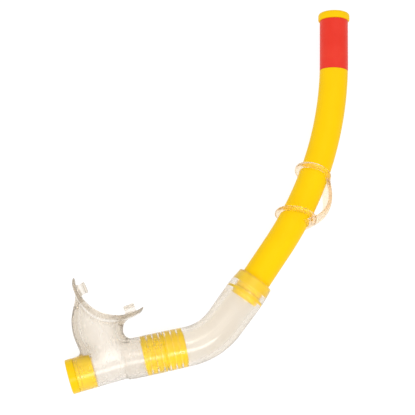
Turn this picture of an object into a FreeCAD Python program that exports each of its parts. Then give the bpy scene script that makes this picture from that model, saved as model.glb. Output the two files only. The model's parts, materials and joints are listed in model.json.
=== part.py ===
import FreeCAD, Part
import math
import os

# Swimmer's J-shaped snorkel, lying flat. Lengths are millimetres and angles are degrees.
# The middle line of every tube lies in one level plane. +Y runs up the barrel, +Z is up.
# Each piece is drawn about the barrel's open top end and moved to the row's origin at the end.

V = FreeCAD.Vector
UP = V(0, 0, 1)

# Barrel: a straight, one long bend, then a straight that ends inside the elbow.
TOP_STRAIGHT = 42.8
BEND_RADIUS = 296.0
BEND_TURN = 33.1
SOCKET_REACH = 33.0
SPIGOT_LENGTH = 20.5
BARREL_TOP_R = 12.1
BARREL_LOW_R = 12.6
SPIGOT_R = 12.5
BARREL_WALL = 1.5
LIP_R = 13.5
LIP_LENGTH = 6.5
LIP_ROUND = 1.3
LIP_STEP_ROUND = 0.5
GROOVE_START = 10.9
GROOVE_LENGTH = 2.5
GROOVE_DEPTH = 0.8
SHOULDER_GAP = 0.5
BAND_LENGTH = 44.5
BAND_THICKNESS = 0.5
BEND_SECTIONS = 9

# Keeper: two loose rings on the barrel, joined by one web that bows out to hold a mask strap.
KEEPER_ANGLE = 24.0
KEEPER_UPPER_DROP = -23.0
KEEPER_LOWER_DROP = 16.5
KEEPER_BORE_R = 13.1
KEEPER_OUTER_R = 16.9
KEEPER_THICKNESS = 3.0
KEEPER_FRONT_RISE = 16.0
KEEPER_LOWER_SKEW = 14.0
WEB_REACH = 23.7
WEB_THICKNESS = 3.1
WEB_END_HALF_WIDTH = 11.5
WEB_WAIST_HALF_WIDTH = 7.5
WEB_ROOT_DEPTH = 1.0
WEB_LOW_FOOT = 3.0

# Elbow: soft clear tube, with a socket for the barrel and one for the coupler.
ELBOW_CORNER = 95.0
ELBOW_RADIUS = 50.0
ELBOW_TURN = 43.6
ELBOW_SAG = 2.0
ELBOW_CORNER_SHIFT = -0.6
ELBOW_OUTER_R = 16.4
ELBOW_BORE_R = 12.0
ELBOW_RIM_R = 15.5
ELBOW_SWELL_R = 16.7
ELBOW_RIM_ROUND = 1.0
BORE_STEP = 1.5
CUFF_R = 16.6
SHAFT_GAP = 0.05
BEAD_GAP = 0.25
STOP_GAP = 0.4

# Coupler: ribbed ring that joins the elbow to the mouthpiece, measured from the elbow's corner.
COUPLER_START = 24.1
COUPLER_END = 59.8
COUPLER_RIB_R = 13.85
COUPLER_ROOT_R = 12.9
COUPLER_BORE_R = 11.4
COUPLER_RIBS = 7
SEAM = 41.3
SEAM_GAP = 0.4

# Mouthpiece: its drain tube leans a little from the coupler's axis at the kink.
KINK = 68.0
KINK_TURN = 3.8
KINK_R = 15.7
DRAIN_R = 14.25
DRAIN_BORE_R = 12.2
DRAIN_LENGTH = 47.9
NECK_WALL = 2.3
NECK_SIDE_WALL = 6.0
FLANGE_OUTER_R = 37.5
FLANGE_THICKNESS = 2.8
FLANGE_CENTRE = (5.7, 70.4)
FLANGE_HALF_WIDTH = 31.3
FLANGE_HALF_HEIGHT = 15.0
FLANGE_CORNER_R = 7.0
FLANGE_LEAN = -39.0
BITE_ANGLE = 43.6
BITE_REACH = 28.4
BITE_WIDTH = 9.0
BITE_PLATE = 3.0
BITE_LUG_HEIGHT = 11.0
BITE_LUG_THICKNESS = 2.0
BITE_LUG_ROUND = 0.9

# Drain valve, measured along the drain tube from the kink.
SEAT_START = 33.5
SEAT_END = 44.8
SEAT_BORE_R = 10.8
WEB_START = 41.3
WEB_DEPTH = 2.2
PORT_INNER_R = 3.2
PORT_OUTER_R = 8.2
SPOKE_WIDTH = 1.8
STEM_HOLE_R = 1.8
STEM_R = 1.5
FLAP_R = 9.6
FLAP_THICKNESS = 0.8
FLAP_LIFT = 1.2
FLAP_GAP = 0.1
FLAP_DOME = 0.4
FLAP_DOME_R = 2.5
BULB_R = 2.5
BULB_LENGTH = 3.2
COVER_ROUND = 0.9
COVER_LENGTH = 6.4
COVER_SLEEVE = 3.0
GRILLE_SETBACK = 2.2
GRILLE_THICKNESS = 1.5
GRILLE_BARS = 3
GRILLE_BAR_WIDTH = 1.6


def station(point, angle):
    """A place in the level plane whose local X axis points at this angle."""
    return FreeCAD.Placement(point, FreeCAD.Rotation(UP, angle))


def placed(shape, place):
    moved = shape.copy()
    moved.Placement = place.multiply(shape.Placement)
    return moved


def fused(shapes):
    whole = shapes[0].fuse(shapes[1:]) if len(shapes) > 1 else shapes[0]
    return whole.removeSplitter()


def rod(start, end, radius):
    """A cylinder along local X."""
    return Part.makeCylinder(radius, end - start, V(start, 0, 0), V(1, 0, 0))


def ring(start, end, inner, outer):
    return rod(start, end, outer).cut(rod(start, end, inner))


def turned(profile):
    """A solid turned about local X from (along, radius) points that start and end on the axis."""
    points = [V(along, radius, 0) for along, radius in profile]
    outline = Part.makePolygon(points + points[:1])
    return Part.Face(outline).revolve(V(0, 0, 0), V(1, 0, 0), 360)


def turned_curve(points, edge_round=0.0):
    """As turned, but the outside is one smooth curve through the points."""
    first = V(points[0][0], points[0][1], 0)
    last = V(points[-1][0], points[-1][1], 0)
    curve = Part.BSplineCurve()
    curve.interpolate([V(along, radius, 0) for along, radius in points])
    corner = V(first.x - edge_round, first.y - edge_round, 0)
    edges = [curve.toShape()]
    edges.append(Part.makeLine(last, V(last.x, 0, 0)))
    edges.append(Part.makeLine(V(last.x, 0, 0), V(corner.x, 0, 0)))
    edges.append(Part.makeLine(V(corner.x, 0, 0), corner))
    if edge_round:
        bulge = edge_round * math.sqrt(0.5)
        middle = V(first.x - bulge, first.y - edge_round + bulge, 0)
        edges.append(Part.Arc(corner, middle, first).toShape())
    return Part.Face(Part.Wire(Part.sortEdges(edges)[0])).revolve(V(0, 0, 0), V(1, 0, 0), 360)


def bent_rod(start, radius, pivot, turn):
    """A round bar that starts at a station and turns about an upright line through pivot."""
    disc = Part.Face(Part.Wire(Part.makeCircle(radius, V(0, 0, 0), V(1, 0, 0))))
    return placed(disc, start).revolve(pivot, UP, turn)


# --- the path of the tubes ---------------------------------------------------------------

def heading(turn):
    """The way down the tubes once the path has turned this far from straight down."""
    angle = math.radians(turn)
    return V(-math.sin(angle), -math.cos(angle), 0)


def down_station(point, turn):
    """A station whose local X points down the path and local Y to the bend's outside."""
    return station(point, -90 - turn)


BEND_PIVOT = V(-BEND_RADIUS, -TOP_STRAIGHT, 0)


def bend_station(turn):
    point = BEND_PIVOT + V(math.cos(math.radians(turn)), -math.sin(math.radians(turn)), 0) * BEND_RADIUS
    return down_station(point, turn)


TOP = down_station(V(0, 0, 0), 0)
BEND_END = bend_station(BEND_TURN)
RIM_POINT = BEND_END.Base + heading(BEND_TURN) * SOCKET_REACH
RIM = down_station(RIM_POINT, BEND_TURN)
# The soft elbow droops a little off the spigot's line, so its skin has a station of its own.
SAG = down_station(RIM_POINT, BEND_TURN + ELBOW_SAG)
CORNER = BEND_END.multVec(V(ELBOW_CORNER, ELBOW_CORNER_SHIFT, 0))
LOWER_TURN = BEND_TURN + ELBOW_TURN
CORNER_DOWN = down_station(CORNER, LOWER_TURN)
KINK_POINT = CORNER + heading(LOWER_TURN) * KINK
DRAIN = down_station(KINK_POINT, LOWER_TURN - KINK_TURN)
# The mouthpiece's own frame: X back along the drain tube to the elbow, Y towards the mouth.
MOUTH = station(KINK_POINT, 90 - LOWER_TURN + KINK_TURN)


# --- barrel ------------------------------------------------------------------------------

def tapered_bend(first_turn, radius_start, radius_end):
    """The bend from first_turn to its end, as a skin over evenly spaced circles."""
    circles = []
    for step in range(BEND_SECTIONS):
        share = step / (BEND_SECTIONS - 1)
        radius = radius_start + (radius_end - radius_start) * share
        circle = Part.Wire(Part.makeCircle(radius, V(0, 0, 0), V(1, 0, 0)))
        circles.append(placed(circle, bend_station(first_turn + (BEND_TURN - first_turn) * share)))
    return Part.makeLoft(circles, True, False)


def barrel_core(top_r, band_r, low_r, end_r):
    """A bar along the whole barrel, with its own radius on each stretch."""
    band_turn = math.degrees((BAND_LENGTH + LIP_LENGTH - TOP_STRAIGHT) / BEND_RADIUS)
    pieces = [placed(rod(0, TOP_STRAIGHT, band_r), TOP)]
    pieces.append(bent_rod(bend_station(0), band_r, BEND_PIVOT, -band_turn))
    pieces.append(tapered_bend(band_turn, top_r, low_r))
    pieces.append(placed(rod(0, SOCKET_REACH - SHOULDER_GAP, low_r), BEND_END))
    pieces.append(placed(rod(-SHOULDER_GAP, SPIGOT_LENGTH, end_r), RIM))
    return fused(pieces)


def outer_edges(body, radius):
    """The edges of a turned body that reach out to this radius."""
    return [edge for edge in body.Edges if abs(edge.BoundBox.YMax - radius) < 0.01]


def lip():
    """The thickened, rounded rim at the open top end."""
    body = ring(0, LIP_LENGTH, BARREL_TOP_R - BAND_THICKNESS, LIP_R)
    top_edge = min(outer_edges(body, LIP_R), key=lambda edge: edge.BoundBox.XMin)
    body = body.makeFillet(LIP_ROUND, [top_edge])
    low_edge = max(outer_edges(body, LIP_R), key=lambda edge: edge.BoundBox.XMin)
    return placed(body.makeFillet(LIP_STEP_ROUND, [low_edge]), TOP)


def barrel():
    skin = barrel_core(BARREL_TOP_R, BARREL_TOP_R - BAND_THICKNESS, BARREL_LOW_R, SPIGOT_R)
    bore = barrel_core(BARREL_TOP_R - BARREL_WALL, BARREL_TOP_R - BARREL_WALL,
                       BARREL_LOW_R - BARREL_WALL, BARREL_LOW_R - BARREL_WALL)
    groove = placed(ring(GROOVE_START, GROOVE_START + GROOVE_LENGTH,
                         SPIGOT_R - GROOVE_DEPTH, SPIGOT_R + 1), RIM)
    return fused([skin, lip()]).cut(bore).cut(groove)


def signal_band():
    """The bright sleeve set flush below the lip."""
    inner = BARREL_TOP_R - BAND_THICKNESS
    band_turn = math.degrees((BAND_LENGTH + LIP_LENGTH - TOP_STRAIGHT) / BEND_RADIUS)
    outside = fused([placed(rod(LIP_LENGTH, TOP_STRAIGHT, BARREL_TOP_R), TOP),
                     bent_rod(bend_station(0), BARREL_TOP_R, BEND_PIVOT, -band_turn)])
    inside = fused([placed(rod(LIP_LENGTH, TOP_STRAIGHT, inner), TOP),
                    bent_rod(bend_station(0), inner, BEND_PIVOT, -band_turn)])
    return outside.cut(inside)


# --- keeper ------------------------------------------------------------------------------

def keeper_ring(drop, skew):
    """One ring: a short thick tube on the barrel, sliced by two slanted parallel planes."""
    turn = KEEPER_ANGLE + math.degrees(drop / BEND_RADIUS)
    length = 4 * KEEPER_OUTER_R
    tube = ring(-length / 2, length / 2, KEEPER_BORE_R, KEEPER_OUTER_R)
    slab = Part.makeBox(KEEPER_THICKNESS, length, length,
                        V(-KEEPER_THICKNESS / 2, -length / 2, -length / 2))
    slab.rotate(V(0, 0, 0), V(0, 1, 0), -KEEPER_FRONT_RISE)
    slab.rotate(V(0, 0, 0), UP, skew)
    return placed(tube.common(slab), bend_station(turn))


def keeper_web():
    """The bowed strip between the rings, drawn in the level plane and narrowed at its waist."""
    upper = KEEPER_UPPER_DROP
    lower = KEEPER_LOWER_DROP
    root = (KEEPER_BORE_R + KEEPER_OUTER_R) / 2 - WEB_ROOT_DEPTH
    middle = (upper + lower) / 2
    top_out = V(upper - KEEPER_THICKNESS / 2, root, 0)
    top_in = V(upper + KEEPER_THICKNESS / 2, root, 0)
    low_out = V(lower + WEB_LOW_FOOT, root, 0)
    low_in = V(lower - KEEPER_THICKNESS / 2, root, 0)
    outer = Part.Arc(top_out, V(middle, WEB_REACH, 0), low_out)
    inner = Part.Arc(low_in, V(middle, WEB_REACH - WEB_THICKNESS, 0), top_in)
    low_end = Part.makeLine(low_out, low_in)
    top_end = Part.makeLine(top_in, top_out)
    outline = Part.Wire([outer.toShape(), low_end, inner.toShape(), top_end])
    strip = Part.Face(outline).extrude(V(0, 0, 2 * WEB_END_HALF_WIDTH))
    strip.translate(V(0, 0, -WEB_END_HALF_WIDTH))
    span = lower - upper + 2 * WEB_LOW_FOOT
    for side in (-1, 1):
        edge = side * WEB_END_HALF_WIDTH
        waist = Part.Arc(V(middle - span / 2, 0, edge), V(middle, 0, side * WEB_WAIST_HALF_WIDTH),
                         V(middle + span / 2, 0, edge))
        chord = Part.makeLine(V(middle + span / 2, 0, edge), V(middle - span / 2, 0, edge))
        notch = Part.Face(Part.Wire([waist.toShape(), chord])).extrude(V(0, 2 * WEB_REACH, 0))
        strip = strip.cut(notch)
    return placed(strip, bend_station(KEEPER_ANGLE))


def keeper():
    rings = [keeper_ring(KEEPER_UPPER_DROP, 0), keeper_ring(KEEPER_LOWER_DROP, KEEPER_LOWER_SKEW)]
    return fused(rings + [keeper_web()])


# --- elbow and coupler -------------------------------------------------------------------

def elbow():
    turn = ELBOW_TURN - ELBOW_SAG
    cut_back = ELBOW_RADIUS * math.tan(math.radians(turn / 2))
    corner = SAG.inverse().multVec(CORNER)
    bend_from = corner.x + corner.y / math.tan(math.radians(turn)) - cut_back
    bend_to = corner.y / math.sin(math.radians(turn)) + cut_back
    bend_start = SAG.multiply(FreeCAD.Placement(V(bend_from, 0, 0), FreeCAD.Rotation()))
    pivot = bend_start.multVec(V(0, -ELBOW_RADIUS, 0))
    stop = SPIGOT_LENGTH + STOP_GAP

    swell = turned_curve([(1.6, ELBOW_RIM_R), (9, 16.4), (19, ELBOW_SWELL_R), (34, 16.5),
                          (bend_from, ELBOW_OUTER_R)], edge_round=ELBOW_RIM_ROUND)
    cuff = turned_curve([(bend_to, ELBOW_OUTER_R), (bend_to + 8, CUFF_R - 0.1), (SEAM, CUFF_R)])
    outside = fused([placed(swell, SAG),
                     bent_rod(bend_start, ELBOW_OUTER_R, pivot, -turn),
                     placed(cuff, CORNER_DOWN)])

    socket_r = SPIGOT_R + SHAFT_GAP
    socket_end = stop + BORE_STEP
    socket = turned([(-1, 0), (-1, socket_r), (stop, socket_r),
                     (socket_end, ELBOW_BORE_R - BEAD_GAP), (socket_end, 0)])
    cup_r = COUPLER_RIB_R + SHAFT_GAP
    cup_start = COUPLER_START - STOP_GAP
    cup = turned([(bend_to, 0), (bend_to, ELBOW_BORE_R), (cup_start - BORE_STEP, ELBOW_BORE_R),
                  (cup_start, cup_r), (SEAM + 1, cup_r), (SEAM + 1, 0)])
    inside = fused([placed(socket, RIM),
                    placed(rod(stop, bend_from, ELBOW_BORE_R), SAG),
                    bent_rod(bend_start, ELBOW_BORE_R, pivot, -turn),
                    placed(cup, CORNER_DOWN)])
    bead = ring(GROOVE_START + BEAD_GAP, GROOVE_START + GROOVE_LENGTH - BEAD_GAP,
                SPIGOT_R - GROOVE_DEPTH + BEAD_GAP, socket_r + 0.5)
    return fused([outside.cut(inside), placed(bead, RIM)])


def coupler():
    pitch = (COUPLER_END - COUPLER_START) / COUPLER_RIBS
    profile = [(COUPLER_START, 0)]
    for rib in range(COUPLER_RIBS):
        start = COUPLER_START + rib * pitch
        profile.append((start, COUPLER_ROOT_R))
        profile.append((start + 0.25 * pitch, COUPLER_RIB_R))
        profile.append((start + 0.75 * pitch, COUPLER_RIB_R))
    profile += [(COUPLER_END, COUPLER_ROOT_R), (COUPLER_END, 0)]
    body = turned(profile).cut(rod(COUPLER_START - 1, COUPLER_END + 1, COUPLER_BORE_R))
    return placed(body, CORNER_DOWN)


# --- mouthpiece --------------------------------------------------------------------------

def oval(centre, half_width, half_depth, lean):
    """An oval wire across the neck: wide in the level plane, half_depth high."""
    flat = Part.Ellipse(V(0, 0, 0), half_width, half_depth)
    wire = Part.Wire(flat.toShape())
    wire.rotate(V(0, 0, 0), V(1, 0, 0), 90)
    wire.rotate(V(0, 0, 0), UP, lean)
    wire.translate(V(centre[0], centre[1], 0))
    return wire


def neck(side_wall, wall):
    """The oval pipe from the drain tube up to the lip flange, shrunk by its wall thicknesses."""
    sections = [((-19.8, 4.0), 19.2, 12.2, 0), ((-20.5, 18.5), 19.9, 12.0, -2),
                ((-22.4, 26.8), 20.3, 11.8, -12), ((-21.1, 35.3), 21.5, 11.6, -24.8),
                ((-16.8, 43.6), 22.0, 11.4, FLANGE_LEAN), ((-13.1, 48.4), 22.0, 11.2, FLANGE_LEAN)]
    wires = [oval(centre, wide - side_wall, deep - wall, lean) for centre, wide, deep, lean in sections]
    return Part.makeLoft(wires, True, False)


def lip_frame():
    """Local X along the flange's chord and local Y out of the mouth, from the flange's centre."""
    return station(V(FLANGE_CENTRE[0], FLANGE_CENTRE[1], 0), FLANGE_LEAN)


def upright_disc(radius, half_height):
    return Part.makeCylinder(radius, 2 * half_height, V(0, 0, -half_height))


def lip_flange():
    """A curved shield with rounded corners that sits between the lips and the gums."""
    inner_r = FLANGE_OUTER_R - FLANGE_THICKNESS
    shell = upright_disc(FLANGE_OUTER_R, FLANGE_HALF_HEIGHT).cut(upright_disc(inner_r, FLANGE_HALF_HEIGHT))
    shape = Part.makeBox(2 * FLANGE_HALF_WIDTH, FLANGE_OUTER_R, 2 * FLANGE_HALF_HEIGHT,
                         V(-FLANGE_HALF_WIDTH, -FLANGE_OUTER_R - 1, -FLANGE_HALF_HEIGHT))
    corners = [edge for edge in shape.Edges
               if edge.BoundBox.YLength > 1 and edge.BoundBox.XLength < 0.01 and edge.BoundBox.ZLength < 0.01]
    return placed(shell.common(shape.makeFillet(FLANGE_CORNER_R, corners)), lip_frame())


def bite_tab(angle):
    """A plate gripped between the teeth, with an upright lug behind them."""
    plate = Part.makeBox(FLANGE_OUTER_R - BITE_REACH - 1, BITE_WIDTH, BITE_PLATE,
                         V(BITE_REACH, -BITE_WIDTH / 2, -BITE_PLATE / 2))
    lug = Part.makeBox(BITE_LUG_THICKNESS, BITE_WIDTH, BITE_LUG_HEIGHT,
                       V(BITE_REACH - BITE_LUG_THICKNESS / 2, -BITE_WIDTH / 2, -BITE_LUG_HEIGHT / 2))
    lug = lug.makeFillet(BITE_LUG_ROUND, [edge for edge in lug.Edges if edge.BoundBox.ZLength > 1])
    return placed(fused([plate, lug]), lip_frame().multiply(station(V(0, 0, 0), -90 + angle)))


def mouthpiece():
    cuff = turned_curve([(SEAM + SEAM_GAP, CUFF_R), (COUPLER_END - 4, CUFF_R), (KINK, KINK_R)])
    drain = turned_curve([(0, KINK_R), (9, DRAIN_R + 0.1), (20, DRAIN_R), (DRAIN_LENGTH, DRAIN_R)])
    ball = Part.makeSphere(KINK_R, KINK_POINT)
    tubes = fused([placed(cuff, CORNER_DOWN), ball, placed(drain, DRAIN)])

    keep_out = placed(upright_disc(FLANGE_OUTER_R - FLANGE_THICKNESS / 2, FLANGE_HALF_HEIGHT), lip_frame())
    neck_skin = neck(0, 0).cut(keep_out)
    tabs = [bite_tab(-BITE_ANGLE), bite_tab(BITE_ANGLE)]
    head = placed(fused([neck_skin, lip_flange()] + tabs), MOUTH)

    cup_r = COUPLER_RIB_R + SHAFT_GAP
    cup_end = COUPLER_END + 2 * STOP_GAP
    cup = turned([(SEAM - 1, 0), (SEAM - 1, cup_r), (cup_end, cup_r), (cup_end + BORE_STEP, DRAIN_BORE_R),
                  (KINK, DRAIN_BORE_R), (KINK, 0)])
    cavity = fused([placed(cup, CORNER_DOWN), Part.makeSphere(DRAIN_BORE_R, KINK_POINT),
                    placed(rod(0, DRAIN_LENGTH + 1, DRAIN_BORE_R), DRAIN)])
    return fused([tubes, head]).cut(cavity).cut(placed(neck(NECK_SIDE_WALL, NECK_WALL), MOUTH))


# --- drain valve -------------------------------------------------------------------------

def spoke(start, end, reach, width, angle):
    bar = Part.makeBox(end - start, reach, width, V(start, 0, -width / 2))
    bar.rotate(V(0, 0, 0), V(1, 0, 0), angle)
    return bar


def purge_seat():
    """Sleeve in the drain tube, with a spoked web that carries the flap."""
    web_end = WEB_START + WEB_DEPTH
    sleeve = ring(SEAT_START, SEAT_END, SEAT_BORE_R, DRAIN_BORE_R)
    land = ring(WEB_START, web_end, PORT_OUTER_R, SEAT_BORE_R + 0.5)
    hub = ring(WEB_START, web_end, STEM_HOLE_R, PORT_INNER_R)
    spokes = [spoke(WEB_START, web_end, PORT_OUTER_R + 0.5, SPOKE_WIDTH, 45 + 90 * step) for step in range(4)]
    web = fused([land, hub] + spokes).cut(rod(WEB_START - 1, web_end + 1, STEM_HOLE_R))
    return placed(fused([sleeve, web]), DRAIN)


def purge_diaphragm():
    """Soft flap that lets water out, with a stem and bulb through the seat's hub."""
    face = WEB_START + WEB_DEPTH + FLAP_GAP
    bulb = WEB_START - FLAP_LIFT - 0.3
    back = face + FLAP_THICKNESS
    flap = turned([(face, 0), (face, FLAP_R), (face + FLAP_THICKNESS / 2, FLAP_R),
                   (back, FLAP_R - FLAP_THICKNESS / 2), (back + FLAP_DOME, FLAP_DOME_R),
                   (back + FLAP_DOME, 0)])
    stem = rod(bulb - BULB_LENGTH / 2, face + FLAP_THICKNESS / 2, STEM_R)
    knob = turned([(bulb - BULB_LENGTH, 0), (bulb - BULB_LENGTH, BULB_R / 2),
                   (bulb - BULB_LENGTH / 3, BULB_R), (bulb, BULB_R), (bulb, 0)])
    return placed(fused([flap, stem, knob]), DRAIN)


def purge_cover():
    """End cap that is pressed into the drain tube and guards the flap with a barred grille."""
    end = DRAIN_LENGTH + COVER_LENGTH
    rim = turned([(DRAIN_LENGTH, 0), (DRAIN_LENGTH, DRAIN_R), (end - COVER_ROUND, DRAIN_R),
                  (end, DRAIN_R - COVER_ROUND), (end, 0)])
    sleeve = rod(DRAIN_LENGTH - COVER_SLEEVE, DRAIN_LENGTH + 0.5, DRAIN_BORE_R)
    body = fused([rim, sleeve]).cut(rod(DRAIN_LENGTH - COVER_SLEEVE - 1, end + 1, SEAT_BORE_R))
    outer = end - GRILLE_SETBACK
    inner = outer - GRILLE_THICKNESS
    hub = rod(inner, outer, PORT_INNER_R)
    bars = [spoke(inner, outer, SEAT_BORE_R + 0.5, GRILLE_BAR_WIDTH, 360 / (2 * GRILLE_BARS) * step)
            for step in range(2 * GRILLE_BARS)]
    return placed(fused([body, hub] + bars), DRAIN)


# --- the whole snorkel -------------------------------------------------------------------

def row_shift(shapes):
    """The move that puts the row's origin under the middle of the whole snorkel."""
    bounds = FreeCAD.BoundBox()
    for shape in shapes:
        bounds.add(shape.optimalBoundingBox(False))
    return V(-(bounds.XMin + bounds.XMax) / 2, -(bounds.YMin + bounds.YMax) / 2, -bounds.ZMin)


def main():
    makers = [barrel, signal_band, keeper, elbow, coupler, mouthpiece,
              purge_seat, purge_diaphragm, purge_cover]
    parts = {maker.__name__: maker() for maker in makers}
    shift = row_shift(parts.values())
    os.makedirs("parts", exist_ok=True)
    for name, shape in parts.items():
        shape.translate(shift)
        shape.exportStep("parts/" + name + ".step")
        print(name, "valid" if shape.isValid() else "NOT VALID", len(shape.Solids), "solid",
              round(shape.Volume, 1), "mm3")
    places = {"bend pivot": BEND_PIVOT, "top end": V(0, 0, 0), "elbow rim": RIM_POINT,
              "seam": CORNER + heading(LOWER_TURN) * SEAM, "kink": KINK_POINT,
              "keeper middle": bend_station(KEEPER_ANGLE).Base}
    for name, point in places.items():
        print(name, [round(value, 4) for value in point + shift])
    for name, turn in {"spigot": BEND_TURN, "coupler": LOWER_TURN, "drain": LOWER_TURN - KINK_TURN}.items():
        print(name, "axis", [round(value, 6) for value in heading(turn)])


main()
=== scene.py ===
import json
import math

import bpy
import numpy as np
import openvdb
from mathutils import Matrix, Vector


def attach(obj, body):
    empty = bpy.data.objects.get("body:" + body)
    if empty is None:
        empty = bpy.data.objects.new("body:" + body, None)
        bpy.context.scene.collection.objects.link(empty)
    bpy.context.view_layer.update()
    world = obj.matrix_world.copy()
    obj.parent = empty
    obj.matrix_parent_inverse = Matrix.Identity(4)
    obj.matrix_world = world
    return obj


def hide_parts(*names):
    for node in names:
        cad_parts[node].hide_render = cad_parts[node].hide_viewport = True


# The looks of a swimmer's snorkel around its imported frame. Lengths in this file are millimetres,
# turned into metres by MM when a mesh or a light is made. Angles are degrees.
MM = 0.001

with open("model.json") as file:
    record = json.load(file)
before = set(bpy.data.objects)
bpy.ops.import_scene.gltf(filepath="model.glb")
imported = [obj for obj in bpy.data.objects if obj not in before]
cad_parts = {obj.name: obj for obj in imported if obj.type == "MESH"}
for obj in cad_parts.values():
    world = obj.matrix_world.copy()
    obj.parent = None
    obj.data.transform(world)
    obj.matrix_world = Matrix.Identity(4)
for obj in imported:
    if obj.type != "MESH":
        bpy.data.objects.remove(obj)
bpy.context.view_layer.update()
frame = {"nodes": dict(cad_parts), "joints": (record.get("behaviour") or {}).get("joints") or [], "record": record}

JOINTS = {joint["name"]: joint for joint in frame["joints"]}
MOUNTS = {mount["name"]: mount for mount in frame["record"]["mounts"]}
UP = Vector((0, 0, 1))


def place_of(entry):
    return Vector(entry["pos_m"]) / MM


TOP = place_of(MOUNTS["air_inlet"])
BEND_PIVOT = place_of(JOINTS["keeper_slide"])
RIM = place_of(JOINTS["elbow_twist"])
SEAM = place_of(JOINTS["mouthpiece_swivel"])
SPIGOT_WAY = Vector(JOINTS["elbow_twist"]["axis"])
CUFF_WAY = Vector(JOINTS["mouthpiece_swivel"]["axis"])
DRAIN_WAY = Vector(JOINTS["purge_lift"]["axis"])
SEAM_TO_KINK = 26.7
KINK = SEAM + CUFF_WAY * SEAM_TO_KINK


# --- camera and studio -------------------------------------------------------------------

AIM = Vector((-3.0, -8.3, TOP.z))
CAMERA_DISTANCE = 950.0
CAMERA_LEAN_X = 4.0
CAMERA_LEAN_Y = 8.5
CAMERA_ROLL = 0.855
CAMERA_LENS = 98.1
CAMERA_REACH = 10  # metres
WORLD_LIGHT = 0.92
FLOOR_SIZE = 12  # metres
FLOOR_GREY = (0.2, 0.2, 0.2)
FLOOR_ROUGHNESS = 0.8
FLOOR_GLOW = 0.84


def make_camera():
    """A long lens almost straight above the snorkel, leaning a little to its lower left."""
    away = Vector((-math.tan(math.radians(CAMERA_LEAN_X)), -math.tan(math.radians(CAMERA_LEAN_Y)), 1))
    away.normalize()
    right = Vector((0, 1, 0)).cross(away).normalized()
    up = away.cross(right)
    axes = Matrix((right, up, away)).transposed()
    axes = Matrix.Rotation(math.radians(CAMERA_ROLL), 3, "Z") @ axes
    camera = bpy.data.objects.new("camera", bpy.data.cameras.new("camera"))
    camera.data.lens = CAMERA_LENS
    camera.data.clip_end = CAMERA_REACH
    camera.matrix_world = Matrix.Translation((AIM + axes.col[2] * CAMERA_DISTANCE) * MM) @ axes.to_4x4()
    bpy.context.scene.collection.objects.link(camera)
    bpy.context.scene.camera = camera


def softbox(name, towards, distance, size, watts):
    """A white rectangular lamp that faces the snorkel's middle from a direction."""
    lamp = bpy.data.lights.new(name, "AREA")
    lamp.shape = "RECTANGLE"
    lamp.size = size[0] * MM
    lamp.size_y = size[1] * MM
    lamp.energy = watts
    holder = bpy.data.objects.new(name, lamp)
    way = Vector(towards).normalized()
    holder.rotation_euler = way.to_track_quat("Z", "Y").to_euler()
    holder.location = (AIM + way * distance) * MM
    bpy.context.scene.collection.objects.link(holder)


def make_studio():
    scene = bpy.context.scene
    scene.view_settings.view_transform = "Standard"
    world = bpy.data.worlds.new("studio")
    world.use_nodes = True
    world.node_tree.nodes["Background"].inputs["Color"].default_value = (1, 1, 1, 1)
    world.node_tree.nodes["Background"].inputs["Strength"].default_value = WORLD_LIGHT
    scene.world = world
    softbox("front_strip", (0, -0.62, 1.0), 900, (700, 220), 3.4)
    softbox("overhead", (0.15, 0.25, 1.0), 1100, (900, 900), 1.4)

    bpy.ops.mesh.primitive_plane_add(size=FLOOR_SIZE)
    floor = bpy.context.object
    floor.name = "floor"
    floor.data.materials.append(matte("studio_floor", FLOOR_GREY, FLOOR_ROUGHNESS, FLOOR_GLOW))


# --- materials ---------------------------------------------------------------------------

BUMP_HEIGHT = 0.00012  # metres
PLASTIC_INDEX = 1.5
SILICONE_INDEX = 1.41
SHADOW_TINT = (0.97, 0.96, 0.94, 1)


def new_material(name):
    material = bpy.data.materials.new(name)
    material.use_nodes = True
    return material, material.node_tree, material.node_tree.nodes["Principled BSDF"]


def matte(name, colour, roughness, glow):
    """An even, dull surface that also gives off some white light."""
    material, _, shader = new_material(name)
    shader.inputs["Emission Color"].default_value = (1, 1, 1, 1)
    shader.inputs["Emission Strength"].default_value = glow
    shader.inputs["Base Color"].default_value = (*colour, 1)
    shader.inputs["Roughness"].default_value = roughness
    return material


def add_node(tree, kind, **settings):
    node = tree.nodes.new(kind)
    for key, value in settings.items():
        if key in node.inputs:
            node.inputs[key].default_value = value
        else:
            setattr(node, key, value)
    return node


def noise(tree, scale, detail=3.0, roughness=0.5, stretch=(1, 1, 1)):
    """Noise in the object's own metres, stretched along the axes."""
    where = add_node(tree, "ShaderNodeTexCoord")
    mapping = add_node(tree, "ShaderNodeMapping", Scale=stretch)
    texture = add_node(tree, "ShaderNodeTexNoise", Scale=scale, Detail=detail, Roughness=roughness)
    tree.links.new(where.outputs["Object"], mapping.inputs["Vector"])
    tree.links.new(mapping.outputs["Vector"], texture.inputs["Vector"])
    return texture.outputs["Fac"]


def ramp(tree, source, stops):
    """Colours or greys at places between 0 and 1."""
    node = add_node(tree, "ShaderNodeValToRGB")
    tree.links.new(source, node.inputs["Fac"])
    elements = node.color_ramp.elements
    while len(elements) < len(stops):
        elements.new(0.5)
    for element, (place, colour) in zip(elements, stops):
        element.position = place
        element.color = (*colour, 1)
    return node.outputs["Color"]


def bumps(tree, shader, heights):
    """Chains Bump nodes for (source, weight) pairs into the shader's normal."""
    previous = None
    for source, weight in heights:
        bump = add_node(tree, "ShaderNodeBump", Strength=weight, Distance=BUMP_HEIGHT)
        tree.links.new(source, bump.inputs["Height"])
        if previous is not None:
            tree.links.new(previous.outputs["Normal"], bump.inputs["Normal"])
        previous = bump
    tree.links.new(previous.outputs["Normal"], shader.inputs["Normal"])


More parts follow.
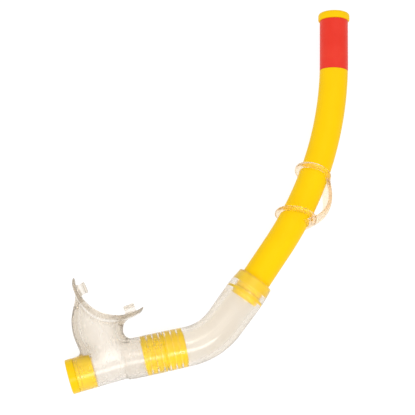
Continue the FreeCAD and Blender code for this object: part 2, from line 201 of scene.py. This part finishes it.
def moulded_plastic(name, dark, mid, bright, roughness, gloss_level, grain=0.6):
    """Glossy moulded plastic: cloudy pigment, fine grain and hairline scuffs."""
    material, tree, shader = new_material(name)
    clouds = noise(tree, 38, 4, 0.6)
    colour = ramp(tree, clouds, [(0.25, dark), (0.5, mid), (0.8, bright)])
    tree.links.new(colour, shader.inputs["Base Color"])
    scuffs = noise(tree, 900, 2, 0.7, (1, 0.06, 1))
    gloss = ramp(tree, scuffs, [(0.35, (roughness - 0.05,) * 3), (0.62, (roughness,) * 3),
                                (0.72, (roughness + 0.14,) * 3)])
    tree.links.new(gloss, shader.inputs["Roughness"])
    bumps(tree, shader, [(noise(tree, 2600, 2), 0.25 * grain), (noise(tree, 60, 2), 0.5)])
    shader.inputs["IOR"].default_value = PLASTIC_INDEX
    shader.inputs["Specular IOR Level"].default_value = gloss_level
    return material


def clear_silicone(name, haze, roughness, tint, absorbed, density, index=SILICONE_INDEX):
    """See-through soft rubber with a tinted, cloudy skin, deeper in colour where it is thick.

    Shadow rays pass it almost untouched, so the lamps light what it holds.
    """
    material, tree, shader = new_material(name)
    clouds = noise(tree, 55, 4, 0.6)
    paler = tuple(level + (1 - level) * 0.35 for level in tint)
    tree.links.new(ramp(tree, clouds, [(0.3, tint), (0.7, paler)]), shader.inputs["Base Color"])
    shader.inputs["Transmission Weight"].default_value = 1 - haze
    shader.inputs["IOR"].default_value = index
    smear = noise(tree, 160, 3, 0.6, (1, 0.4, 1))
    tree.links.new(ramp(tree, smear, [(0.35, (roughness * 0.7,) * 3), (0.7, (roughness * 1.5,) * 3)]),
                   shader.inputs["Roughness"])
    bumps(tree, shader, [(noise(tree, 45, 2), 0.5), (noise(tree, 900, 2), 0.06)])
    lamps = add_node(tree, "ShaderNodeBsdfTransparent", Color=SHADOW_TINT)
    path = add_node(tree, "ShaderNodeLightPath")
    mix = add_node(tree, "ShaderNodeMixShader")
    tree.links.new(path.outputs["Is Shadow Ray"], mix.inputs["Fac"])
    tree.links.new(shader.outputs["BSDF"], mix.inputs[1])
    tree.links.new(lamps.outputs["BSDF"], mix.inputs[2])
    tree.links.new(mix.outputs["Shader"], tree.nodes["Material Output"].inputs["Surface"])
    depth = add_node(tree, "ShaderNodeVolumeAbsorption", Color=(*absorbed, 1), Density=density)
    tree.links.new(depth.outputs["Volume"], tree.nodes["Material Output"].inputs["Volume"])
    return material


def make_materials():
    yellow = moulded_plastic("yellow_tube", (0.80, 0.475, 0.001), (0.82, 0.505, 0.0012),
                             (0.835, 0.53, 0.0016), 0.42, 0.06)
    # The yellow_insert finish is the tube's yellow painted brighter: painted light that makes up for the shade the
    # clear silicone casts on the parts inside it.
    insert = moulded_plastic("yellow_brightened_for_silicone_shade", (0.94, 0.61, 0.0), (0.96, 0.67, 0.0), (0.97, 0.71, 0.001),
                             0.22, 0.15, 0.3)
    cap = moulded_plastic("yellow_cap", (0.74, 0.45, 0.001), (0.77, 0.49, 0.001), (0.80, 0.52, 0.001),
                          0.28, 0.15, 0.3)
    red = moulded_plastic("signal_sleeve_red", (0.66, 0.028, 0.014), (0.69, 0.036, 0.02),
                          (0.71, 0.05, 0.024), 0.38, 0.12)
    elbow = clear_silicone("clear_elbow_silicone", 0.015, 0.16, (0.925, 0.89, 0.835),
                           (0.80, 0.73, 0.62), 60)
    mouth = clear_silicone("clear_mouthpiece_silicone", 0.03, 0.22, (0.93, 0.90, 0.86),
                           (0.78, 0.73, 0.65), 100, 1.34)
    keeper = clear_silicone("clear_keeper_silicone", 0.02, 0.28, (0.98, 0.93, 0.80),
                            (0.94, 0.75, 0.50), 75, 1.25)
    flap = clear_silicone("flap_silicone", 0.35, 0.3, (0.94, 0.91, 0.86), (0.8, 0.74, 0.64), 110)
    return {"yellow_shell": yellow, "yellow_insert": insert, "yellow_cap": cap, "signal_red": red,
            "clear_keeper": keeper, "clear_elbow": elbow, "clear_mouthpiece": mouth, "flap_silicone": flap}


def finish_piece(piece, body, slot, nodes, material=None):
    """Gives a piece the material for its slot, or the one named, parents it to its body and hides the CAD nodes
    that it stands for.
    """
    piece.data.materials.clear()
    piece.data.materials.append(MATERIALS[material or slot])
    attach(piece, body)
    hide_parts(*nodes)


# --- shapes: tubes along a level path ----------------------------------------------------

RING_STEP = 2.5
CORNER_STEPS = 4


def turned_way(way, turn):
    """A level direction turned towards the inside of the snorkel's J."""
    return Matrix.Rotation(math.radians(-turn), 3, "Z") @ way


class Path:
    """A level line of straights and arcs, each (length, turn to the inside of the J)."""

    def __init__(self, start, way, moves):
        self.pieces = []
        for length, turn in moves:
            self.pieces.append((start, way, length, turn))
            start, way = self.walk(start, way, length, turn, length)
        self.length = sum(move[0] for move in moves)

    @staticmethod
    def walk(start, way, length, turn, distance):
        if abs(turn) < 1e-6:
            return start + way * distance, way
        radius = length / math.radians(turn)
        angle = turn * distance / length
        inward = way.cross(UP)
        pivot = start + inward * radius
        now = turned_way(way, angle)
        return pivot - now.cross(UP) * radius, now

    def at(self, distance):
        """The point and the way on at a distance, which may lie before the start or past the end."""
        for start, way, length, turn in self.pieces[:-1]:
            if distance < length:
                return self.walk(start, way, length, turn, distance)
            distance -= length
        return self.walk(*self.pieces[-1], distance)


def rings(path, outline):
    """(point, way, radius) rings for (distance, radius) pairs, with long steps divided."""
    found = []
    previous = None
    for distance, radius in outline:
        if previous is not None:
            steps = max(1, math.ceil(abs(distance - previous[0]) / RING_STEP))
            for step in range(1, steps):
                share = step / steps
                found.append((*path.at(previous[0] + (distance - previous[0]) * share),
                              previous[1] + (radius - previous[1]) * share))
        found.append((*path.at(distance), radius))
        previous = (distance, radius)
    return found


def rounded(points, rounds):
    """A (distance, radius) line whose corners are rounded: rounds maps a point's number to a radius."""
    line = []
    for number, point in enumerate(points):
        radius = rounds.get(number, 0)
        if not radius:
            line.append(point)
            continue
        here = Vector(point)
        before = (Vector(points[number - 1]) - here).normalized()
        after = (Vector(points[number + 1]) - here).normalized()
        for step in range(CORNER_STEPS + 1):
            share = step / CORNER_STEPS
            line.append(tuple(here + before * radius * (1 - share) ** 2 + after * radius * share ** 2))
    return line


def smooth_line(points, step=2.0):
    """A soft (distance, radius) curve through points, by cubic easing of the slopes between them."""
    along = np.array([point[0] for point in points], float)
    radius = np.array([point[1] for point in points], float)
    slope = np.gradient(radius, along)
    line = []
    for number in range(len(points) - 1):
        span = along[number + 1] - along[number]
        count = max(2, math.ceil(abs(span) / step))
        for share in np.arange(count) / count:
            a = (1 + 2 * share) * (1 - share) ** 2
            b = share * (1 - share) ** 2
            c = share ** 2 * (3 - 2 * share)
            d = share ** 2 * (share - 1)
            line.append((along[number] + share * span,
                         a * radius[number] + b * span * slope[number]
                         + c * radius[number + 1] + d * span * slope[number + 1]))
    line.append((along[-1], radius[-1]))
    return line


def new_piece(name, points, faces):
    """A smooth-shaded mesh piece from points in millimetres."""
    mesh = bpy.data.meshes.new(name)
    mesh.from_pydata([tuple(point) for point in np.asarray(points, float) * MM], [], faces)
    mesh.validate()
    mesh.update()
    piece = bpy.data.objects.new(name, mesh)
    bpy.context.scene.collection.objects.link(piece)
    mesh.polygons.foreach_set("use_smooth", [True] * len(mesh.polygons))
    return piece


def tube(name, loop, segments=112):
    """A closed wall: every ring of the loop joins the next, and the last joins the first."""
    points = []
    for point, way, radius in loop:
        side = UP.cross(way)
        for step in range(segments):
            angle = 2 * math.pi * step / segments
            points.append(point + side * (radius * math.cos(angle)) + UP * (radius * math.sin(angle)))
    faces = []
    count = len(loop)
    for ring in range(count):
        following = (ring + 1) % count
        for step in range(segments):
            beside = (step + 1) % segments
            faces.append((ring * segments + step, ring * segments + beside,
                          following * segments + beside, following * segments + step))
    return new_piece(name, points, faces)


# --- barrel and signal sleeve ------------------------------------------------------------

TOP_STRAIGHT = TOP.y - BEND_PIVOT.y
BEND_RADIUS = TOP.x - BEND_PIVOT.x
BEND_TURN = math.degrees(math.acos(-SPIGOT_WAY.y))
BEND_LENGTH = BEND_RADIUS * math.radians(BEND_TURN)
BEND_END = BEND_PIVOT + turned_way(Vector((1, 0, 0)), BEND_TURN) * BEND_RADIUS
RIM_AT = TOP_STRAIGHT + BEND_LENGTH + (RIM - BEND_END).length
LIP_R = 13.5
LIP_LENGTH = 6.5
TOP_R = 12.1
LOW_R = 12.6
SPIGOT_R = 12.5
SPIGOT_LENGTH = 20.5
GROOVE_AT = 10.9
GROOVE_WIDTH = 2.5
GROOVE_DEPTH = 0.8
TIP_LENGTH = 3.6
TIP_STEP = 0.45
TIP_NARROWING = 1.0
SLEEVE_LENGTH = 44.5
WALL = 1.5
BAND_SEAT = 0.5
BAND_PROUD = 0.05
BAND_ROOT = 0.45
SPARE_PATH = 60  # longer than any piece drawn along it
barrel_path = Path(TOP, Vector((0, -1, 0)), [(TOP_STRAIGHT, 0), (BEND_LENGTH, BEND_TURN),
                                             (SPARE_PATH, 0)])


def make_barrel():
    sleeve_end = LIP_LENGTH + SLEEVE_LENGTH
    bend_end = TOP_STRAIGHT + BEND_LENGTH
    groove = RIM_AT + GROOVE_AT
    end = RIM_AT + SPIGOT_LENGTH
    tip = end - TIP_LENGTH
    outside = rounded([(0, LIP_R - 2.7), (0, LIP_R), (LIP_LENGTH, LIP_R), (LIP_LENGTH, TOP_R - BAND_SEAT),
                       (sleeve_end, TOP_R - BAND_SEAT), (sleeve_end, TOP_R), (sleeve_end + 1, TOP_R),
                       (bend_end, LOW_R), (RIM_AT - 0.5, LOW_R), (RIM_AT - 0.4, SPIGOT_R),
                       (groove, SPIGOT_R), (groove, SPIGOT_R - GROOVE_DEPTH),
                       (groove + GROOVE_WIDTH, SPIGOT_R - GROOVE_DEPTH), (groove + GROOVE_WIDTH, SPIGOT_R),
                       (tip, SPIGOT_R), (tip + 0.4, SPIGOT_R - TIP_STEP), (end, SPIGOT_R - TIP_NARROWING),
                       (end, LOW_R - WALL)],
                      {1: 2.5, 2: 1.1, 6: 0.4, 11: 0.25, 12: 0.25, 15: 0.4})
    inside = [(end, LOW_R - WALL), (bend_end, LOW_R - WALL), (sleeve_end, TOP_R - WALL),
              (0.4, TOP_R - WALL), (0, TOP_R - WALL + 0.5)]
    loop = rings(barrel_path, outside) + rings(barrel_path, inside)[1:]
    piece = tube("barrel_tube", loop)
    finish_piece(piece, "barrel", "yellow_shell", ["barrel"])
    # The spigot inside the elbow takes the yellow painted brighter: painted light against the shade under the
    # clear silicone.
    piece.data.materials.append(MATERIALS["yellow_insert"])
    for face in piece.data.polygons:
        face.material_index = int((Vector(face.center) / MM - RIM).dot(SPIGOT_WAY) > 1.0)


def make_sleeve():
    start = LIP_LENGTH + 0.15
    end = LIP_LENGTH + SLEEVE_LENGTH - 0.1
    outer_r = TOP_R + BAND_PROUD
    root_r = TOP_R - BAND_ROOT
    outline = rounded([(start, root_r), (start, outer_r), (end, outer_r), (end, root_r)], {1: 0.3, 2: 0.3})
    back = [(end - 0.05, root_r - 0.03), (start, root_r - 0.03)]
    loop = rings(barrel_path, outline) + rings(barrel_path, back)
    finish_piece(tube("signal_sleeve", loop), "barrel", "signal_red", ["signal_band"])


# --- elbow -------------------------------------------------------------------------------

ELBOW_SAG = 2.0
ELBOW_RADIUS = 50.0
# The stretched silicone wets the plastic that it grips, so its wall reaches just past that surface.
GRIP_R = SPIGOT_R - 0.05
CUP_R = 13.3
CUP_LENGTH = 17.6
CUP_TAPER = 18
ELBOW_BORE_R = 12.0


def elbow_path():
    """From the rim, drooping a little off the spigot's line, round to the seam."""
    way = turned_way(SPIGOT_WAY, ELBOW_SAG)
    turn = math.degrees(way.angle(CUFF_WAY))
    gap = SEAM - RIM
    out = UP.cross(way)
    back = gap.dot(out) / math.sin(math.radians(turn))
    run = gap.dot(way) + back * math.cos(math.radians(turn))
    cut_back = ELBOW_RADIUS * math.tan(math.radians(turn / 2))
    first = run - cut_back
    last = -back - cut_back
    return Path(RIM, way, [(first, 0), (ELBOW_RADIUS * math.radians(turn), turn), (last, 0)]), first


def make_elbow():
    path, first = elbow_path()
    spigot = Path(RIM, SPIGOT_WAY, [(SPARE_PATH, 0)])
    end = path.length
    cup = end - CUP_LENGTH
    outside = rounded([(0.6, 14.0), (0.6, 15.5), (4, 15.9)], {1: 0.9})[:-1]
    outside += smooth_line([(4, 15.9), (10, 16.55), (19, 16.8), (34, 16.6), (first, 16.45),
                            (end - 20, 16.4), (end - 10, 16.5), (end - 1, 16.6)])
    outside += rounded([(end - 1, 16.6), (end, 16.6), (end, 15.9)], {1: 0.5})[1:]
    inside = [(end, 15.9), (end, CUP_R), (cup, CUP_R)]
    inside += [(cup - CUP_TAPER * share, CUP_R + (ELBOW_BORE_R - CUP_R) * share * share * (3 - 2 * share))
               for share in (0.15, 0.3, 0.45, 0.6, 0.75, 0.9, 1.0)]
    inside.append((first, ELBOW_BORE_R))
    socket = [(23.0, 11.9), (21.5, 12.2), (20.6, GRIP_R)]
    socket += smooth_line([(15.2, GRIP_R), (14.2, 12.62), (13.2, 12.85), (12.0, 12.9), (10.8, 12.85),
                           (9.8, 12.62), (8.8, GRIP_R)], 0.5)
    socket += [(0.9, GRIP_R), (0.62, GRIP_R + 0.3)]
    loop = rings(path, outside) + rings(path, inside)[1:]
    loop += rings(path, [(30, ELBOW_BORE_R)]) + rings(spigot, socket)
    finish_piece(tube("elbow_tube", loop), "elbow", "clear_elbow", ["elbow"])


# --- shapes: moulded bodies from distance fields -----------------------------------------

FAR_AWAY = 30.0
PIPE_STATIONS = 25
PIPE_SMOOTHINGS = 3


def soft_min(a, b, blend):
    """The nearer of two distances, with a fillet of about this size between the shapes."""
    share = np.clip(0.5 + 0.5 * (b - a) / blend, 0, 1)
    return b * (1 - share) + a * share - blend * share * (1 - share)


def soft_max(a, b, blend):
    return -soft_min(-a, -b, blend)


def rounded_box(offsets, halves, corner):
    """Distance to a box with rounded edges, in two or three directions."""
    beyond = [np.abs(offset) - (half - corner) for offset, half in zip(offsets, halves)]
    outside = np.sqrt(sum(np.maximum(value, 0) ** 2 for value in beyond))
    return outside + np.minimum(np.maximum.reduce(beyond), 0) - corner


def eased(values, places, levels):
    """Levels at places, joined by smooth steps."""
    result = np.full_like(values, levels[0])
    for number in range(len(places) - 1):
        share = np.clip((values - places[number]) / (places[number + 1] - places[number]), 0, 1)
        share = share * share * (3 - 2 * share)
        result = result + (levels[number + 1] - levels[number]) * share
    return result


def oval_pipe(x, y, z, sections):
    """Distance to a bent pipe whose oval section turns and changes from one station to the next."""
    knots = np.arange(len(sections))
    places = np.linspace(0, knots[-1], PIPE_STATIONS)
    table = np.array([(*centre, wide, deep, math.radians(lean)) for centre, wide, deep, lean in sections])
    columns = [np.interp(places, knots, column) for column in table.T]
    for _ in range(PIPE_SMOOTHINGS):
        for column in columns:
            column[1:-1] = (column[:-2] + 2 * column[1:-1] + column[2:]) / 4
    cx, cy, wide, deep, lean = columns
    ahead = [(x - cx[i]) * -math.sin(lean[i]) + (y - cy[i]) * math.cos(lean[i]) for i in range(len(places))]
    result = np.full_like(x, FAR_AWAY)
    for i in range(len(places) - 1):
        inside = (ahead[i] >= 0) & (ahead[i + 1] < 0)
        share = np.where(inside, ahead[i] / np.maximum(ahead[i] - ahead[i + 1], 1e-6), 0)
        px, py, half, tall, angle = (column[i] + (column[i + 1] - column[i]) * share for column in columns)
        offset = (x - px) * np.cos(angle) + (y - py) * np.sin(angle)
        far = np.sqrt((offset / half) ** 2 + (z / tall) ** 2)
        slope = np.sqrt((offset / half ** 2) ** 2 + (z / tall ** 2) ** 2)
        distance = far * (far - 1) / np.maximum(slope, 1e-3)
        result = np.where(inside, distance, result)
    return result


def moulded(name, field, low, high, step, place):
    """The surface where a distance field is zero, meshed on a grid of this step and put in place."""
    axes = [np.arange(start, end + step, step, dtype=np.float32) for start, end in zip(low, high)]
    values = field(*np.meshgrid(*axes, indexing="ij"))
    grid = openvdb.FloatGrid(3.0 * step)
    grid.copyFromArray(np.clip(values, -3 * step, 3 * step).astype(np.float32))
    points, quads = grid.convertToQuads()
    points = points * step + np.array(low)
    turn = np.array(place.to_3x3())
    row_points = points @ turn.T + np.array(place.translation)
    return new_piece(name, row_points, [tuple(int(corner) for corner in quad) for quad in quads])


def level_place(origin, across):
    """A frame whose X points along a level direction and whose Z is up."""
    axes = Matrix((across, UP.cross(across), UP)).transposed()
    return Matrix.Translation(origin) @ axes.to_4x4()


# --- mouthpiece --------------------------------------------------------------------------
# Its frame: X back along the drain tube to the elbow, Y towards the mouth, from the kink.

KINK_TURN = 3.8
KINK_R = 15.7
CUFF_R = 16.6
CUFF_LENGTH = 26.3
CUP_END = -3.0
DRAIN_R = 14.25
DRAIN_BORE_R = 12.2
DRAIN_LENGTH = 47.9
SEAT_START = 33.5
# Oval sections up the neck: centre, half width, half depth and lean.
NECK_SECTIONS = [((-19.8, 4.0), 19.2, 12.4, 0.0), ((-20.5, 18.5), 19.9, 12.2, -2.0),
                 ((-22.4, 26.8), 20.3, 12.0, -12.0), ((-21.1, 35.3), 21.5, 11.8, -24.8),
                 ((-16.8, 43.6), 22.0, 11.6, -37.1), ((-13.1, 48.4), 22.3, 11.6, -37.1),
                 ((-9.5, 53.1), 22.3, 11.6, -37.1)]
HOLLOW_SECTIONS = [((-15.0, 2.0), 13.0, 10.0, 0.0), ((-20.0, 17.5), 13.4, 9.8, -2.0),
                   ((-22.0, 26.8), 14.3, 9.6, -12.0), ((-21.1, 35.3), 15.5, 9.4, -24.8),
                   ((-16.8, 43.6), 16.0, 9.2, -37.1), ((-13.1, 48.4), 16.3, 9.2, -37.1),
                   ((-9.5, 53.1), 16.3, 9.2, -37.1)]
FLANGE_CENTRE = (5.7, 70.4)
FLANGE_LEAN = -39.0
FLANGE_MIDDLE_R = 36.1
FLANGE_HALF_WIDTH = 31.3
FLANGE_HALF_HEIGHT = 15.0
FLANGE_CORNER_R = 7.0
FLANGE_HALF_THICKNESS = 1.5
FLANGE_RIM_WIDTH = 9
FLANGE_RIM_THINNING = 0.25
FLANGE_SWELL = 1.1
FLANGE_SWELL_WIDTH = 19
BITE_ANGLE = 43.6
BITE_REACH = 28.4
BITE_PLATE_HALVES = (4.5, 1.5)
BITE_LUG_HALVES = (1.25, 4.6, 5.6)
NECK_BLEND = 5.0
FLANGE_BLEND = 4.5
HOLLOW_BLEND = 8.0
MOUTHPIECE_LOW = (-50, -18, -17.2)
MOUTHPIECE_HIGH = (28, 80, 17.2)
MOUTHPIECE_GRID = 0.65


def tube_fields(x, y, z):
    """The outside of the drain tube and the cuff, and the bore through both."""
    lean = math.radians(KINK_TURN)
    down = -x
    drain_off = np.hypot(y, z)
    drain = drain_off - eased(down, (0, 9, 20), (KINK_R, DRAIN_R + 0.1, DRAIN_R))
    drain = soft_max(soft_max(drain, down - DRAIN_LENGTH, 0.3), -down - 6, 0.5)
    up_cuff = x * math.cos(lean) - y * math.sin(lean)
    cuff_off = np.hypot(x * math.sin(lean) + y * math.cos(lean), z)
    cuff = cuff_off - eased(up_cuff, (0, 12), (KINK_R, CUFF_R))
    cuff = soft_max(soft_max(cuff, up_cuff - CUFF_LENGTH, 1.0), -up_cuff - 6, 0.5)
    cup_r = eased(up_cuff, (CUP_END - 7, CUP_END + 4), (DRAIN_BORE_R, CUP_R))
    cup = np.maximum(cuff_off - cup_r, CUP_END - 8 - up_cuff)
    bore_r = eased(down, (SEAT_START - 0.4, SEAT_START + 0.4), (DRAIN_BORE_R, DRAIN_BORE_R - 0.25))
    bore = np.minimum(np.maximum(drain_off - bore_r, -down - 4), cup)
    return soft_min(drain, cuff, 3.0), bore


def flange_field(x, y, z):
    """The curved lip shield with thinner edges, and its two bite tabs."""
    lean = math.radians(FLANGE_LEAN)
    dx = x - FLANGE_CENTRE[0]
    dy = y - FLANGE_CENTRE[1]
    along = dx * math.cos(lean) + dy * math.sin(lean)
    out = -dx * math.sin(lean) + dy * math.cos(lean)
    reach = np.hypot(along, out)
    edge = rounded_box((along, z), (FLANGE_HALF_WIDTH, FLANGE_HALF_HEIGHT), FLANGE_CORNER_R)
    thicker = FLANGE_SWELL * np.exp(-(along / FLANGE_SWELL_WIDTH) ** 2)
    to_rim = np.clip((edge + FLANGE_RIM_WIDTH) / FLANGE_RIM_WIDTH, 0, 1)
    half = FLANGE_HALF_THICKNESS - FLANGE_RIM_THINNING * to_rim + thicker
    shield = np.abs(reach - FLANGE_MIDDLE_R - thicker) - half
    shield = np.where(out < 0, soft_max(shield, edge, 1.3), FAR_AWAY)
    for side in (-1, 1):
        angle = math.radians(-90 + side * BITE_ANGLE)
        radial = along * math.cos(angle) + out * math.sin(angle)
        across = -along * math.sin(angle) + out * math.cos(angle)
        plate = rounded_box((radial - (BITE_REACH + FLANGE_MIDDLE_R) / 2, across, z),
                            ((FLANGE_MIDDLE_R - BITE_REACH) / 2, *BITE_PLATE_HALVES), 0.7)
        lug = rounded_box((radial - BITE_REACH, across, z), BITE_LUG_HALVES, 1.0)
        shield = soft_min(shield, soft_min(plate, lug, 1.2), 1.6)
    return shield


def mouthpiece_field(x, y, z):
    """The tubes, neck and lip shield as one moulding, hollowed from the drain's seat to the mouth."""
    tubes, bore = tube_fields(x, y, z)
    skin = soft_min(tubes, oval_pipe(x, y, z, NECK_SECTIONS), NECK_BLEND)
    reach = np.hypot(x - FLANGE_CENTRE[0], y - FLANGE_CENTRE[1])
    skin = soft_max(skin, FLANGE_MIDDLE_R - reach, 0.8)
    skin = soft_min(skin, flange_field(x, y, z), FLANGE_BLEND)
    hollow = soft_min(bore, oval_pipe(x, y, z, HOLLOW_SECTIONS), HOLLOW_BLEND)
    seat_wall = -x - SEAT_START + 0.7 - 0.5 * np.maximum(y - DRAIN_BORE_R, 0)
    hollow = np.minimum(bore, soft_max(hollow, seat_wall, 0.8))
    return soft_max(skin, -hollow, 0.9)


def make_mouthpiece():
    piece = moulded("mouthpiece_body", mouthpiece_field, MOUTHPIECE_LOW, MOUTHPIECE_HIGH, MOUTHPIECE_GRID,
                    level_place(KINK, -DRAIN_WAY))
    finish_piece(piece, "mouthpiece", "clear_mouthpiece", ["mouthpiece"])


# --- keeper ------------------------------------------------------------------------------
# Its field is drawn along the barrel's bend: distance down the bend, offset outwards, and z.

KEEPER_AT = 24.0
UPPER_DROP = -23.0
LOWER_DROP = 16.5
KEEPER_BORE_R = 12.3
KEEPER_OUTER_R = 16.9
UPPER_TIGHT_R = 13.9
LOWER_TIGHT_R = 15.5
FRONT_RISE = 16.0
LOWER_SKEW = 14.0
STRAP_SPAN = 43.6
STRAP_ROOT_R = 12.2
STRAP_REACH = 21.8
KEEPER_BLOCK = Vector((34, 40))
KEEPER_HALF_HEIGHT = 17
KEEPER_GRID = 0.5


def keeper_field(x, y, z):
    """Two slanted rings and the bowed strap between them, whose window holds the mask strap."""
    turn = np.degrees(np.arctan2(-(y - BEND_PIVOT.y), x - BEND_PIVOT.x))
    down = np.radians(turn - KEEPER_AT) * BEND_RADIUS
    out = np.hypot(x - BEND_PIVOT.x, y - BEND_PIVOT.y) - BEND_RADIUS
    far = np.hypot(out, z)
    slant = down + z * math.tan(math.radians(FRONT_RISE))
    side = out / np.maximum(far, 1)
    shape = np.full_like(x, FAR_AWAY)
    for drop, skew, tight in ((UPPER_DROP, 0.0, UPPER_TIGHT_R), (LOWER_DROP, LOWER_SKEW, LOWER_TIGHT_R)):
        along = slant - drop + out * math.tan(math.radians(skew))
        outer_r = KEEPER_OUTER_R + (tight - KEEPER_OUTER_R) * (0.5 + 0.5 * side) ** 1.5
        band = (outer_r - KEEPER_BORE_R) / 2
        offset = np.abs(far - KEEPER_BORE_R - band) - band
        shape = np.minimum(shape, soft_max(offset, np.abs(along) - 2.0, 1.6))
    share = np.clip((slant - UPPER_DROP) / STRAP_SPAN, 0, 1)
    bow = np.sin(math.pi * share ** 1.12)
    strap_r = STRAP_ROOT_R + (STRAP_REACH - STRAP_ROOT_R) * bow
    half_angle = np.radians(62 - 36 * np.sqrt(np.clip(bow, 0, 1)))
    angle = np.abs(np.arctan2(z, out))
    strap = rounded_box((far - strap_r, (angle - half_angle) * far + 6), (1.5, 6), 1.2)
    strap = soft_max(strap, np.abs(slant - UPPER_DROP - STRAP_SPAN / 2) - STRAP_SPAN / 2 - 1, 1.5)
    shape = soft_min(shape, strap, 2.2)
    return soft_max(shape, KEEPER_BORE_R - far, 0.3)


def make_keeper():
    centre = barrel_path.at(TOP_STRAIGHT + math.radians(KEEPER_AT) * BEND_RADIUS)[0]
    low = (*(centre.xy - KEEPER_BLOCK), -KEEPER_HALF_HEIGHT)
    high = (*(centre.xy + KEEPER_BLOCK), KEEPER_HALF_HEIGHT)
    piece = moulded("strap_keeper", keeper_field, low, high, KEEPER_GRID, Matrix.Translation((0, 0, TOP.z)))
    finish_piece(piece, "keeper", "clear_keeper", ["keeper"])


# --- coupler and drain cap ---------------------------------------------------------------

COUPLER_START = 24.1
COUPLER_END = 59.8
CORNER_TO_SEAM = 41.3
COUPLER_RIBS = 7
COUPLER_ROOT_R = 12.9
COUPLER_END_R = 12.6
COUPLER_BORE_R = 11.4
RIB_HEIGHT = 0.93
RIB_STEPS = 12


def make_coupler():
    corner = SEAM - CUFF_WAY * CORNER_TO_SEAM
    path = Path(corner, CUFF_WAY, [(SPARE_PATH, 0)])
    pitch = (COUPLER_END - COUPLER_START) / COUPLER_RIBS
    outline = [(COUPLER_START, COUPLER_END_R)]
    for step in range(COUPLER_RIBS * RIB_STEPS + 1):
        phase = step / RIB_STEPS
        swell = 0.5 - 0.5 * math.cos(2 * math.pi * phase)
        along = COUPLER_START + 0.2 + phase * (pitch - 0.4 / COUPLER_RIBS)
        outline.append((along, COUPLER_ROOT_R + RIB_HEIGHT * swell ** 0.4))
    outline += [(COUPLER_END, COUPLER_END_R), (COUPLER_END, COUPLER_BORE_R + 0.2),
                (COUPLER_END - 0.3, COUPLER_BORE_R), (COUPLER_START + 0.3, COUPLER_BORE_R),
                (COUPLER_START, COUPLER_BORE_R + 0.2)]
    # The coupler sits under the clear silicone, so its yellow is painted brighter: painted light against that
    # shade.
    finish_piece(tube("ribbed_coupler", rings(path, outline)), "elbow", "yellow_insert", ["coupler"])


COVER_LENGTH = 6.4
COVER_BLOCK_R = 15
COVER_GRID = 0.3
COVER_INNER_R = 12.5
COVER_SLEEVE_R = 11.5
GRILLE_INSET = 2.95
HUB_R = 3.4
BAR_RING_R = 7.4
SPOKES = 6
SPOKE_TURN = 12


def cover_field(x, y, z):
    """Cap with a rounded rim, a short sleeve and a barred grille; X is the distance from the kink."""
    far = np.hypot(y, z)
    end = DRAIN_LENGTH + COVER_LENGTH
    rim = rounded_box((x - (DRAIN_LENGTH + end) / 2, far - COVER_INNER_R),
                      (COVER_LENGTH / 2, DRAIN_R - COVER_INNER_R), 0.8)
    sleeve = rounded_box((x - (DRAIN_LENGTH - 1), far - COVER_SLEEVE_R),
                         (2.0, DRAIN_BORE_R - COVER_SLEEVE_R), 0.2)
    body = soft_min(rim, sleeve, 0.3)
    plane = x - (end - GRILLE_INSET)
    grille = soft_max(far - HUB_R, np.abs(plane) - 0.75, 0.5)
    for step in range(SPOKES):
        angle = math.radians(360 / SPOKES * step + SPOKE_TURN)
        along = y * math.cos(angle) + z * math.sin(angle)
        across = -y * math.sin(angle) + z * math.cos(angle)
        grille = soft_min(grille, rounded_box((plane, along - 6, across), (0.75, 5.6, 0.85), 0.35), 0.6)
    ring_bar = rounded_box((plane, far - BAR_RING_R), (0.6, 0.6), 0.3)
    return soft_min(body, soft_min(grille, ring_bar, 0.5), 0.6)


def make_cover():
    end = DRAIN_LENGTH + COVER_LENGTH
    piece = moulded("drain_cap", cover_field, (DRAIN_LENGTH - 4, -COVER_BLOCK_R, -COVER_BLOCK_R),
                    (end + 1, COVER_BLOCK_R, COVER_BLOCK_R), COVER_GRID, level_place(KINK, DRAIN_WAY))
    finish_piece(piece, "mouthpiece", "yellow_insert", ["purge_cover"], "yellow_cap")
    # The cap's sleeve inside the drain tube takes the yellow painted brighter: painted light against the shade
    # under the clear silicone.
    piece.data.materials.append(MATERIALS["yellow_insert"])
    for face in piece.data.polygons:
        face.material_index = int((Vector(face.center) / MM - KINK).dot(DRAIN_WAY) < DRAIN_LENGTH)


# --- the whole scene ---------------------------------------------------------------------

make_camera()
MATERIALS = make_materials()
make_studio()
make_barrel()
make_sleeve()
make_elbow()
make_mouthpiece()
make_keeper()
make_coupler()
make_cover()
# Subparts in the yellow_insert slot take the yellow painted brighter: painted light against the shade under the
# clear silicone.
for subpart in frame["record"]["subparts"]:
    node = frame["nodes"][subpart["node"]]
    node.data.materials.clear()
    node.data.materials.append(MATERIALS[subpart["material_slot"]])
